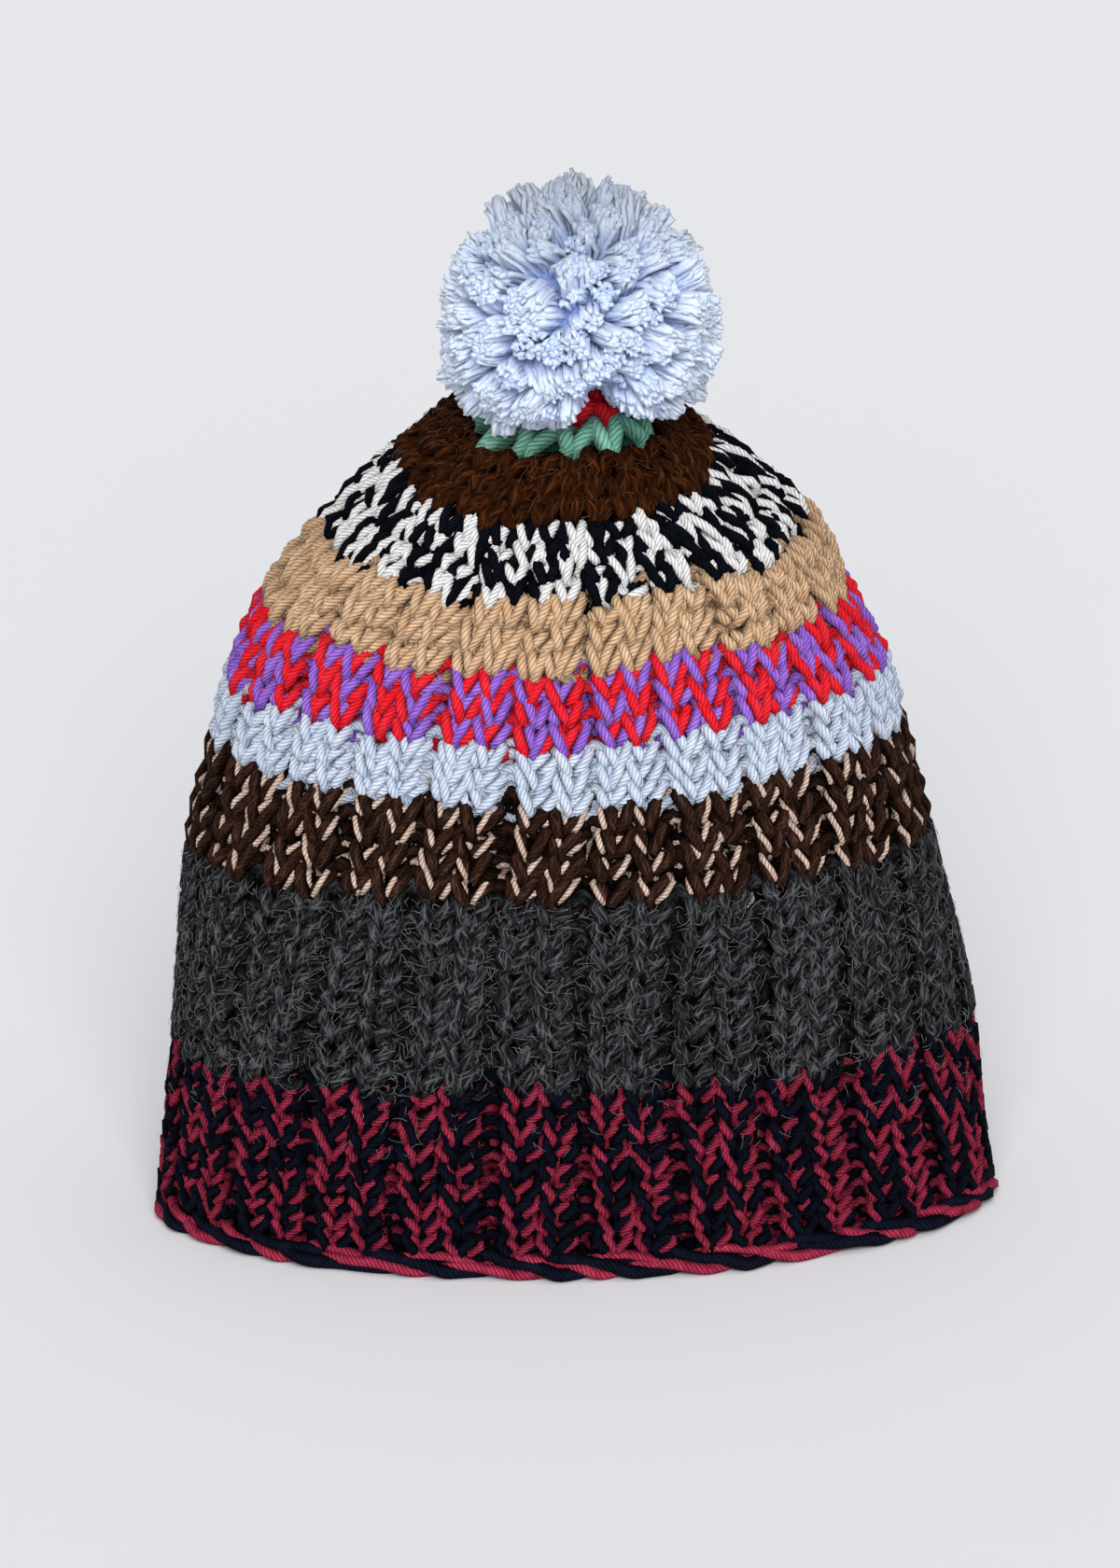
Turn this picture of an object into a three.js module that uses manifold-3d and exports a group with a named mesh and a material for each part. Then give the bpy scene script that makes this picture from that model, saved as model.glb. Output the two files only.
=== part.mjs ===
// A chunky striped knit hat with a yarn pompom, standing on its brim.
// Millimetres, +Z up, the front of the hat towards -Y.
// The origin is the centre of the brim's base, on the surface that the hat stands on.

import * as THREE from 'three';
import { mergeVertices } from 'three/addons/utils/BufferGeometryUtils.js';
import Module from 'manifold-3d';

// Driving dimensions of the knitted body
const BRIM_WIDTH = 216;
const BRIM_DEPTH = 122;
const KNIT_HEIGHT = 217;
const WALL_THICKNESS = 7.5;
const RIB_DEPTH = 2.6;
const INNER_RIB_DEPTH = 1.2;
const CAST_ON_HEIGHT = 7;
const CAST_ON_BULGE = 1.1;
const BAND_GAP = 0.4;
const RIB_REPEATS = 22;
const CROWN_REPEATS = 11;

// Driving dimensions of the pompom
const POMPOM_RADIUS = 36;
const CORE_RADIUS = 27;
const LOCK_COUNT = 58;
const LOCK_ROOT_RADIUS = 4.6;
const LOCK_TIP_RADIUS = 6.4;
const LOCK_CROWNING = 2.2;
const LOCK_UNEVENNESS = 2.4;
const POMPOM_FORWARD = 12;
const POMPOM_SINK = 8.5;
const SEAT_CLEARANCE = 0.4;

// The hat from hem to tip: a row for each stripe, with the section at its upper edge.
// level is a share of KNIT_HEIGHT, width and depth are shares of the brim's own,
// lean is a share of half the brim's width, to the right, and nod tips the front edge down, in degrees.
// turn carries the rib columns round, in repeats, rib is a share of RIB_DEPTH, and steps counts the facets.
const HEM = { level: 0, width: 1, depth: 1, lean: 0, nod: 0, turn: 0.05, rib: 0.5 };
const STRIPES = [
  { name: 'cast_on_edge', colour: '#4a1a2c', repeats: RIB_REPEATS, steps: 1,
    level: CAST_ON_HEIGHT / KNIT_HEIGHT, width: 0.997, depth: 0.997, lean: -0.003,
    nod: 0, turn: 0.06, rib: 0.8 },
  { name: 'brim_band', colour: '#431425', repeats: RIB_REPEATS, steps: 2,
    level: 0.226, width: 0.954, depth: 0.951, lean: -0.019, nod: 0, turn: 0.1, rib: 1 },
  { name: 'charcoal_band', colour: '#343536', repeats: RIB_REPEATS, steps: 2,
    level: 0.456, width: 0.88, depth: 0.934, lean: -0.02, nod: 1, turn: 0.24, rib: 1 },
  { name: 'fleck_band', colour: '#4b3129', repeats: RIB_REPEATS, steps: 2,
    level: 0.599, width: 0.815, depth: 0.885, lean: -0.018, nod: 8, turn: 0.33, rib: 1 },
  { name: 'sky_band', colour: '#c2d3ec', repeats: RIB_REPEATS, steps: 1,
    level: 0.668, width: 0.778, depth: 0.852, lean: -0.019, nod: 8, turn: 0.36, rib: 1 },
  { name: 'red_violet_band', colour: '#c32a64', repeats: RIB_REPEATS, steps: 1,
    level: 0.751, width: 0.694, depth: 0.803, lean: -0.021, nod: 8, turn: 0.38, rib: 0.9 },
  { name: 'tan_band', colour: '#cba577', repeats: RIB_REPEATS, steps: 1,
    level: 0.834, width: 0.574, depth: 0.721, lean: 0.004, nod: 10, turn: 0.38, rib: 0.8 },
  { name: 'black_white_band', colour: '#717172', repeats: RIB_REPEATS, steps: 2,
    level: 0.917, width: 0.38, depth: 0.557, lean: -0.012, nod: 14, turn: 0.38, rib: 0.7 },
  { name: 'brown_band', colour: '#4a2a14', repeats: RIB_REPEATS, steps: 1,
    level: 0.9585, width: 0.225, depth: 0.361, lean: 0.004, nod: 8, turn: 0.38, rib: 0.5 },
  { name: 'green_band', colour: '#4f8f7c', repeats: CROWN_REPEATS, steps: 1,
    level: 0.979, width: 0.13, depth: 0.197, lean: 0.03, nod: 4, turn: 0.38, rib: 0.6 },
  { name: 'crown_tip', colour: '#b81f2a', repeats: CROWN_REPEATS, steps: 2,
    level: 1, width: 0, depth: 0, lean: 0.05, nod: 0, turn: 0.38, rib: 0 },
];
const POMPOM_COLOUR = '#b7cbe8';

// One repeat of the knit-two, purl-one rib: along is a share of the repeat from its purl column,
// and outer and inner are how far the fabric sinks there, as shares of the rib depths.
const RIB_COLUMNS = [
  { along: 0, outer: 1, inner: 1 },
  { along: 0.27, outer: 0, inner: 0 },
  { along: 0.5, outer: 0.35, inner: 0.2 },
  { along: 0.73, outer: 0, inner: 0 },
];

const YARN_ROUGHNESS = 0.95;
const MERGE_TOLERANCE = 1e-4;
const TIP_ROUNDNESS = 0.45;
const PROFILE_STEP = 0.01;
const GOLDEN_ANGLE = Math.PI * (3 - Math.sqrt(5));

// The two curves that carry the table's numbers smoothly from one row to the next
const ROWS = [HEM, ...STRIPES];
const shapePoints = ROWS.map((row) => new THREE.Vector3(row.width, row.depth, row.level));
const stancePoints = ROWS.map((row) => new THREE.Vector3(row.lean, row.nod, row.turn));
const shapeCurve = new THREE.CatmullRomCurve3(shapePoints);
const stanceCurve = new THREE.CatmullRomCurve3(stancePoints);

// The hat's section at a place between rows: 2.5 is halfway from row 2 to row 3
function sectionAt(place) {
  const last = ROWS.length - 1;
  const share = THREE.MathUtils.clamp(place / last, 0, 1);
  const shape = shapeCurve.getPoint(share);
  const stance = stanceCurve.getPoint(share);
  const below = Math.min(Math.floor(place), last - 1);
  const intoTip = below === last - 1 ? place - below : 0;
  const round = intoTip > 0 ? Math.pow(1 - intoTip, TIP_ROUNDNESS) : 1;
  const start = ROWS[below];
  return {
    height: KNIT_HEIGHT * (intoTip > 0 ? THREE.MathUtils.lerp(start.level, 1, intoTip) : shape.z),
    halfWidth: (BRIM_WIDTH / 2) * (intoTip > 0 ? start.width * round : shape.x),
    halfDepth: (BRIM_DEPTH / 2) * (intoTip > 0 ? start.depth * round : shape.y),
    lean: (BRIM_WIDTH / 2) * stance.x,
    nod: THREE.MathUtils.degToRad(stance.y),
    turn: stance.z,
    rib: THREE.MathUtils.lerp(start.rib, ROWS[below + 1].rib, place - below),
  };
}

// How far the fabric leans over there: 0 on an upright wall, a right angle at the flat tip
function slopeAt(place) {
  const last = ROWS.length - 1;
  if (place >= last) return Math.PI / 2;
  const lower = sectionAt(Math.max(place - PROFILE_STEP, 0));
  const upper = sectionAt(Math.min(place + PROFILE_STEP, last));
  const drawnIn = (lower.halfWidth + lower.halfDepth - upper.halfWidth - upper.halfDepth) / 2;
  return Math.atan2(drawnIn, upper.height - lower.height);
}

// How far a rib column sinks one side of the wall; a smooth ring has no ribs
function ribSink(side, column) {
  if (side === 'outer') return RIB_DEPTH * column.outer;
  if (side === 'inner') return INNER_RIB_DEPTH * column.inner;
  return 0;
}

// One ring of points at a place on the profile. side says which column of the rib table sinks it,
// depth is how far it lies inside the outer surface, and slide moves it up along the fabric.
function ringAt(place, { side, depth, slide, repeats, bulge = 0 }) {
  const section = sectionAt(place);
  const slope = slopeAt(place);
  const curve = new THREE.EllipseCurve(section.lean, 0, section.halfWidth, section.halfDepth);
  const ring = [];
  if (section.halfWidth === 0) {
    return [new THREE.Vector3(section.lean, 0, section.height - depth)];
  }
  for (let repeat = 0; repeat < repeats; repeat += 1) {
    for (const column of RIB_COLUMNS) {
      const share = (repeat + column.along + section.turn) / repeats + 3 / 4;
      const around = share - Math.floor(share);
      const point = curve.getPointAt(around);
      const along = curve.getTangentAt(around);
      const sunk = depth - bulge + section.rib * ribSink(side, column);
      const inward = sunk * Math.cos(slope) + slide * Math.sin(slope);
      const x = point.x - along.y * inward;
      const y = point.y + along.x * inward;
      const down = sunk * Math.sin(slope) - slide * Math.cos(slope);
      ring.push(new THREE.Vector3(x, y, section.height - down + y * Math.tan(section.nod)));
    }
  }
  return ring;
}

// A closed body from rings that follow one another round its wall; a ring of one point is a pole
function solidFromRings(rings) {
  const count = Math.max(...rings.map((ring) => ring.length));
  const starts = [];
  const positions = [];
  for (const ring of rings) {
    starts.push(positions.length / 3);
    ring.forEach((point) => positions.push(point.x, point.y, point.z));
  }
  const index = (ring, j) => starts[ring] + (j % rings[ring].length);
  const faces = [];
  const addFace = (a, b, c) => {
    if (a !== b && b !== c && c !== a) faces.push(a, b, c);
  };
  for (let i = 0; i < rings.length; i += 1) {
    const next = (i + 1) % rings.length;
    for (let j = 0; j < count; j += 1) {
      addFace(index(i, j), index(i, j + 1), index(next, j + 1));
      addFace(index(i, j), index(next, j + 1), index(next, j));
    }
  }
  const geometry = new THREE.BufferGeometry();
  geometry.setAttribute('position', new THREE.Float32BufferAttribute(positions, 3));
  geometry.setIndex(faces);
  geometry.computeVertexNormals();
  return geometry;
}

// One stripe: up the outside of its wall and down the inside, with half the gap left at each join
function stripeGeometry(stripe, row) {
  const isHem = row === 0;
  const isTip = row === STRIPES.length - 1;
  const outer = [];
  const inner = [];
  for (let step = 0; step <= stripe.steps; step += 1) {
    const place = row + step / stripe.steps;
    let slide = 0;
    if (step === 0 && !isHem) slide = BAND_GAP / 2;
    if (step === stripe.steps && !isTip) slide = -BAND_GAP / 2;
    const common = { slide, repeats: stripe.repeats };
    const bulge = isHem ? CAST_ON_BULGE : 0;
    outer.push(ringAt(place, { side: 'outer', depth: 0, bulge, ...common }));
    if (step === 0 || step === stripe.steps || isTip) {
      inner.unshift(ringAt(place, { side: 'inner', depth: WALL_THICKNESS, ...common }));
    }
  }
  if (isHem) {
    flattenHem(outer[0]);
    flattenHem(inner[inner.length - 1]);
  }
  return solidFromRings([...outer, ...inner]);
}

// The hem's lowest rings lie in the surface that the hat stands on
function flattenHem(ring) {
  ring.forEach((point) => { point.z = 0; });
}

// The crown as one plain block, a clearance larger than the knit, which hollows the pompom's seat
function crownBlock() {
  const first = STRIPES.findIndex((stripe) => stripe.name === 'black_white_band');
  const rings = [];
  for (let row = first; row < STRIPES.length; row += 1) {
    const { steps } = STRIPES[row];
    for (let step = 0; step < steps; step += 1) {
      rings.push(crownBlockRing(row + step / steps));
    }
  }
  const top = crownBlockRing(STRIPES.length);
  const base = rings[0].map((point) => new THREE.Vector3(point.x, point.y, 0));
  const floor = [new THREE.Vector3(0, 0, 0)];
  return solidFromRings([floor, base, ...rings, top]);
}

function crownBlockRing(place) {
  return ringAt(place, { side: 'smooth', depth: -SEAT_CLEARANCE, slide: 0, repeats: RIB_REPEATS });
}

// An even spread of directions over a ball, from its top to its bottom
function spreadDirection(number, count) {
  const up = 1 - (2 * number + 1) / count;
  const across = Math.sqrt(1 - up * up);
  const turn = number * GOLDEN_ANGLE;
  return new THREE.Vector3(across * Math.cos(turn), across * Math.sin(turn), up);
}

// One lock of cut yarn: a five-sided tuft, wider at its crowned end
function lockGeometry(direction, reach) {
  const sides = 5;
  const root = CORE_RADIUS / 2;
  const length = reach - LOCK_CROWNING - root;
  const geometry = new THREE.CylinderGeometry(LOCK_TIP_RADIUS, LOCK_ROOT_RADIUS, length, sides);
  geometry.translate(0, root + length / 2, 0);
  const position = geometry.attributes.position;
  for (let i = 0; i < position.count; i += 1) {
    const onAxis = Math.hypot(position.getX(i), position.getZ(i)) < MERGE_TOLERANCE;
    if (onAxis && position.getY(i) > root) position.setY(i, reach);
  }
  const upright = new THREE.Vector3(0, 1, 0);
  geometry.applyQuaternion(new THREE.Quaternion().setFromUnitVectors(upright, direction));
  return geometry;
}

const wasm = await Module();
wasm.setup();

// A closed geometry as a solid that can be joined and cut
function toManifold(geometry) {
  const plain = geometry.clone();
  plain.deleteAttribute('normal');
  plain.deleteAttribute('uv');
  const merged = mergeVertices(plain, MERGE_TOLERANCE);
  const vertProperties = new Float32Array(merged.attributes.position.array);
  const triVerts = new Uint32Array(merged.index.array);
  return new wasm.Manifold(new wasm.Mesh({ numProp: 3, vertProperties, triVerts }));
}

function fromManifold(solid) {
  const { vertProperties, triVerts } = solid.getMesh();
  const geometry = new THREE.BufferGeometry();
  geometry.setAttribute('position', new THREE.Float32BufferAttribute(vertProperties, 3));
  geometry.setIndex(new THREE.Uint32BufferAttribute(triVerts, 1));
  geometry.computeVertexNormals();
  return geometry;
}

// The pompom: a tied core with locks all round it, seated over the crown's tip
function pompomGeometry() {
  const tip = sectionAt(ROWS.length - 1);
  const centre = new THREE.Vector3(tip.lean, -POMPOM_FORWARD, tip.height + POMPOM_RADIUS - POMPOM_SINK);
  const coreDetail = 2;
  let ball = toManifold(new THREE.IcosahedronGeometry(CORE_RADIUS, coreDetail));
  for (let lock = 0; lock < LOCK_COUNT; lock += 1) {
    const direction = spreadDirection(lock, LOCK_COUNT);
    const unevenness = LOCK_UNEVENNESS * (0.5 + 0.5 * Math.sin(lock * lock));
    ball = ball.add(toManifold(lockGeometry(direction, POMPOM_RADIUS - unevenness)));
  }
  const seated = ball.translate([centre.x, centre.y, centre.z]).subtract(toManifold(crownBlock()));
  return fromManifold(seated);
}

function yarnMaterial(name, colour) {
  const look = { name: `${name}_yarn`, color: colour, roughness: YARN_ROUGHNESS, metalness: 0 };
  return new THREE.MeshStandardMaterial(look);
}

function namedMesh(name, colour, geometry) {
  const mesh = new THREE.Mesh(geometry, yarnMaterial(name, colour));
  mesh.name = name;
  return mesh;
}

const hat = new THREE.Group();
STRIPES.forEach((stripe, row) => {
  hat.add(namedMesh(stripe.name, stripe.colour, stripeGeometry(stripe, row)));
});
hat.add(namedMesh('pompom', POMPOM_COLOUR, pompomGeometry()));

export default hat;
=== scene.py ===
# A chunky striped knit hat with a yarn pompom, standing on its brim.
# Metres, +Z up, the front of the hat towards -Y. Every stitch is a loop of one or two strands of yarn.
import math

import bmesh
import bpy
import numpy as np
from mathutils import Euler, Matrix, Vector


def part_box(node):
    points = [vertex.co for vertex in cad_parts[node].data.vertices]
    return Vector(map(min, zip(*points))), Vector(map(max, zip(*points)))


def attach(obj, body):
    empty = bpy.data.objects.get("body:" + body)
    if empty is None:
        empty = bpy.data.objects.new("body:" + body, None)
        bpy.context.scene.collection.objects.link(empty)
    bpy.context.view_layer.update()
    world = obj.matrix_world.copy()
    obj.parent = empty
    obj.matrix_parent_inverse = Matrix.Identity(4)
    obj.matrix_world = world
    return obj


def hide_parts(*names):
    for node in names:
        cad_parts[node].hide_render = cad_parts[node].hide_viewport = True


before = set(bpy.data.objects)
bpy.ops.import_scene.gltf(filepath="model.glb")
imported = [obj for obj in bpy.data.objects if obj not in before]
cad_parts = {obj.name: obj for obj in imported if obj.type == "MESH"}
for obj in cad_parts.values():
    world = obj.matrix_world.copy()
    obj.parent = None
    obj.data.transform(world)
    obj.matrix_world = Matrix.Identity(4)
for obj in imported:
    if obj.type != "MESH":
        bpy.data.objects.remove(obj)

MM = 0.001
RNG = np.random.default_rng(7)
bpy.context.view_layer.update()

# The photo's frame and the camera's place
PHOTO_WIDTH_PX = 1200
PHOTO_HEIGHT_PX = 1680
MM_PER_PX = 0.2355
HAT_MIDDLE_PX = 622
HEM_LINE_PX = 1290
CAMERA_ELEVATION = math.radians(18)
CAMERA_ROLL = math.radians(1.6)
CAMERA_DISTANCE = 2.6
SENSOR_MM = 36


def make_camera():
    """A long lens, level with the photo's view of the hat from a little above."""
    data = bpy.data.cameras.new("camera")
    data.sensor_fit = "AUTO"
    data.sensor_width = SENSOR_MM
    view_height = PHOTO_HEIGHT_PX * MM_PER_PX * MM
    data.lens = SENSOR_MM * CAMERA_DISTANCE / view_height
    data.clip_end = 50
    camera = bpy.data.objects.new("camera", data)
    bpy.context.scene.collection.objects.link(camera)
    right = (PHOTO_WIDTH_PX / 2 - HAT_MIDDLE_PX) * MM_PER_PX * MM
    rise = (HEM_LINE_PX - PHOTO_HEIGHT_PX / 2) * MM_PER_PX * MM
    aside = right * math.cos(CAMERA_ROLL) + rise * math.sin(CAMERA_ROLL)
    up = (rise * math.cos(CAMERA_ROLL) - right * math.sin(CAMERA_ROLL)) / math.cos(CAMERA_ELEVATION)
    back = CAMERA_DISTANCE * math.cos(CAMERA_ELEVATION)
    camera.location = (aside, -back, up + CAMERA_DISTANCE * math.sin(CAMERA_ELEVATION))
    tilt = Euler((math.pi / 2 - CAMERA_ELEVATION, 0, 0)).to_matrix()
    roll = Euler((0, 0, -CAMERA_ROLL)).to_matrix()
    camera.rotation_euler = (tilt @ roll).to_euler()
    bpy.context.scene.camera = camera


make_camera()

# The hat from hem to tip, as in the frame: a row for each stripe, with the section at its upper edge.
# level is a share of the knit's height, width, depth and lean are shares of half the brim, nod is in
# degrees and turn in ribs. rows gives the stitches in each round.
brim_low, brim_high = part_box("brim_band")
_, tip_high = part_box("crown_tip")
_, edge_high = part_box("cast_on_edge")
# The hem's oval over the brim's box, as the brim narrows upwards
HEM_WIDER = 1.0055
HEM_DEEPER = 1.004
KNIT_HEIGHT = tip_high[2]
HALF_WIDTH = (brim_high[0] - brim_low[0]) / 2 * HEM_WIDER
HALF_DEPTH = (brim_high[1] - brim_low[1]) / 2 * HEM_DEEPER
EDGE_LEVEL = edge_high[2] / KNIT_HEIGHT
HEM = dict(level=0, width=1, depth=1, lean=0, nod=0, turn=0.05)
STRIPES = [
    dict(node="cast_on_edge", slot="navy_burgundy_yarn", rows=[],
         level=EDGE_LEVEL, width=0.997, depth=0.997, lean=-0.003, nod=0, turn=0.06),
    dict(node="brim_band", slot="navy_burgundy_yarn", rows=[66] * 9,
         level=0.226, width=0.954, depth=0.951, lean=-0.019, nod=0, turn=0.1),
    dict(node="charcoal_band", slot="charcoal_wool", rows=[66] * 8,
         level=0.456, width=0.88, depth=0.934, lean=-0.02, nod=1, turn=0.24),
    dict(node="fleck_band", slot="brown_beige_yarn", rows=[66] * 4,
         level=0.599, width=0.815, depth=0.885, lean=-0.018, nod=8, turn=0.33),
    dict(node="sky_band", slot="sky_blue_yarn", rows=[66] * 3,
         level=0.668, width=0.778, depth=0.852, lean=-0.019, nod=8, turn=0.36),
    dict(node="red_violet_band", slot="red_violet_yarn", rows=[66] * 3,
         level=0.751, width=0.694, depth=0.803, lean=-0.021, nod=8, turn=0.38),
    dict(node="tan_band", slot="tan_yarn", rows=[66] * 3,
         level=0.834, width=0.574, depth=0.721, lean=0.004, nod=10, turn=0.38),
    dict(node="black_white_band", slot="black_white_yarn", rows=[66, 66, 44, 44],
         level=0.917, width=0.38, depth=0.557, lean=-0.012, nod=14, turn=0.38),
    dict(node="brown_band", slot="brown_wool", rows=[33, 33, 22],
         level=0.9585, width=0.225, depth=0.361, lean=0.004, nod=8, turn=0.38),
    dict(node="green_band", slot="green_yarn", rows=[12],
         level=0.979, width=0.13, depth=0.197, lean=0.03, nod=4, turn=0.38),
    dict(node="crown_tip", slot="red_yarn", rows=[8, 8],
         level=1, width=0, depth=0, lean=0.05, nod=0, turn=0.38),
]
# How blunt the tip closes: 0.5 would be round, and less is blunter
TIP_ROUNDNESS = 0.45
# The smallest section, as a share of the brim, because a point has no oval
SMALLEST_SHARE = 0.01
RIB_STITCHES = 66
STITCHES_PER_RIB = 3
RIBS = RIB_STITCHES // STITCHES_PER_RIB


# The surface of the hat

ROWS = [HEM] + STRIPES
COLUMNS = {key: np.array([row[key] for row in ROWS], float)
           for key in ("level", "width", "depth", "lean", "nod", "turn")}
LAST = len(ROWS) - 1


def smooth_column(key, place):
    """A column of the table carried smoothly between its rows."""
    values = COLUMNS[key]
    below = np.clip(np.floor(place).astype(int), 0, LAST - 1)
    t = np.clip(place - below, 0, 1)
    before = values[np.maximum(below - 1, 0)]
    start = values[below]
    end = values[below + 1]
    after = values[np.minimum(below + 2, LAST)]
    slope_in = (end - before) / 2
    slope_out = (after - start) / 2
    cubic = 2 * start - 2 * end + slope_in + slope_out
    square = -3 * start + 3 * end - 2 * slope_in - slope_out
    return ((cubic * t + square) * t + slope_in) * t + start


def section(place):
    """Half width, half depth, height, lean, nod and turn of the fabric at a place between rows."""
    place = np.asarray(place, float)
    into_tip = np.clip(place - (LAST - 1), 0, 1)
    round_in = (1 - into_tip) ** TIP_ROUNDNESS
    in_tip = into_tip > 0
    width = np.where(in_tip, COLUMNS["width"][LAST - 1] * round_in, smooth_column("width", place))
    depth = np.where(in_tip, COLUMNS["depth"][LAST - 1] * round_in, smooth_column("depth", place))
    tip_level = COLUMNS["level"][LAST - 1]
    level = np.where(in_tip, tip_level + (1 - tip_level) * into_tip, smooth_column("level", place))
    half_width = HALF_WIDTH * np.maximum(width, SMALLEST_SHARE)
    half_depth = HALF_DEPTH * np.maximum(depth, SMALLEST_SHARE)
    lean = HALF_WIDTH * smooth_column("lean", place)
    nod = np.radians(smooth_column("nod", place))
    return half_width, half_depth, KNIT_HEIGHT * level, lean, nod, smooth_column("turn", place)


# The distance up the fabric, measured along its profile, for each place
PROFILE_SAMPLES = 1200
PLACES = np.linspace(0, LAST, PROFILE_SAMPLES)
_widths, _depths, _heights, _, _, _ = section(PLACES)
_radii = (_widths + _depths) / 2
UP_FABRIC = np.concatenate([[0], np.cumsum(np.hypot(np.diff(_radii), np.diff(_heights)))])
SLOPES = np.arctan2(-np.gradient(_radii), np.gradient(_heights))

# Ovals by depth over width, and shares of the way round them
ROUNDNESS = np.linspace(0.3, 1.4, 45)
EDGE_SHARES = np.linspace(0, 1, 721)
OVAL_SAMPLES = 1440


def oval_angles():
    """The angle round an oval for each share of its edge, a row for each roundness."""
    angle = np.linspace(0, 2 * math.pi, OVAL_SAMPLES + 1)
    table = []
    for ratio in ROUNDNESS:
        step = np.hypot(np.diff(np.sin(angle)), ratio * np.diff(np.cos(angle)))
        length = np.concatenate([[0], np.cumsum(step)])
        table.append(np.interp(EDGE_SHARES, length / length[-1], angle))
    return np.array(table)


OVAL_ANGLES = oval_angles()


def angle_at(share, ratio):
    """The angle at a share of the way round an oval, whose ratio is depth over width."""
    row = np.clip((ratio - ROUNDNESS[0]) / (ROUNDNESS[1] - ROUNDNESS[0]), 0, len(ROUNDNESS) - 1.001)
    low = row.astype(int)
    column = (share - np.floor(share)) * (len(EDGE_SHARES) - 1)
    left = np.minimum(column.astype(int), len(EDGE_SHARES) - 2)
    down, right = row - low, column - left
    lower = OVAL_ANGLES[low, left] * (1 - right) + OVAL_ANGLES[low, left + 1] * right
    upper = OVAL_ANGLES[low + 1, left] * (1 - right) + OVAL_ANGLES[low + 1, left + 1] * right
    return lower * (1 - down) + upper * down


# The fabric's soft unevenness: a wave's size, how many there are round the hat, their slant in
# radians to a metre up, and their start. Sizes are in millimetres, but in WAVES_ROUND they are
# shares of the way round.
WAVES_OUT = [(0.7, 3, 40, 1), (0.5, 7, -55, 0), (0.35, 13, 90, 2)]
WAVES_UP = [(0.9, 4, 30, 1), (0.6, 9, -48, 0)]
WAVES_ROUND = [(0.0022, 5, 60, 0), (0.0016, 11, -75, 0)]
# How much of the hem stays in its place, and over how far the fabric gets free from hem and tip
HELD_HEM = 8 * MM
FREE_OVER = 25 * MM


def waves(table, share, up):
    """The sum of a table's waves at a place on the fabric."""
    around = 2 * math.pi * share
    return sum(size * np.sin(count * around + slant * up + start) for size, count, slant, start in table)


def on_fabric(share, up, inside):
    """Points and outward directions at a share of the way round from the front, a distance up
    the fabric, and a depth inside its outer surface."""
    off_hem = np.clip((up - HELD_HEM) / FREE_OVER, 0, 1)
    off_tip = np.clip((UP_FABRIC[-1] - up) / FREE_OVER, 0, 1)
    free = off_hem * off_tip
    drift = free * MM * waves(WAVES_UP, share, up)
    share = share + free * waves(WAVES_ROUND, share, up)
    up = up + drift
    place = np.interp(up, UP_FABRIC, PLACES)
    half_width, half_depth, height, lean, nod, turn = section(place)
    slope = np.interp(place, PLACES, SLOPES)
    angle = angle_at(share + turn / RIBS, half_depth / half_width)
    tangent_x, tangent_y = half_width * np.cos(angle), half_depth * np.sin(angle)
    long = np.hypot(tangent_x, tangent_y)
    out_x, out_y = tangent_y / long, -tangent_x / long
    inside = inside - MM * waves(WAVES_OUT, share, up)
    x = half_width * np.sin(angle) + lean - out_x * inside * np.cos(slope)
    y = -half_depth * np.cos(angle) - out_y * inside * np.cos(slope)
    z = height - inside * np.sin(slope) + y * np.tan(nod)
    outward = np.stack([out_x * np.cos(slope), out_y * np.cos(slope), np.sin(slope)], -1)
    return np.stack([x, y, z], -1), outward


def girth(up):
    """The length round the fabric at a distance up it."""
    half_width, half_depth, *_ = section(np.interp(up, UP_FABRIC, PLACES))
    total = half_width + half_depth
    other = 3 * total - np.sqrt((3 * half_width + half_depth) * (half_width + 3 * half_depth))
    return math.pi * other


# Meshes from arrays

def unit(vectors):
    """The same directions, each one unit long."""
    return vectors / np.maximum(np.linalg.norm(vectors, axis=-1, keepdims=True), 1e-12)


def directions(centres, closed):
    """The way that each path runs at each of its points."""
    if closed:
        ahead, behind = np.roll(centres, -1, 1), np.roll(centres, 1, 1)
    else:
        ahead = np.concatenate([centres[:, 1:], centres[:, -1:]], 1)
        behind = np.concatenate([centres[:, :1], centres[:, :-1]], 1)
    return unit(ahead - behind)


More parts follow.
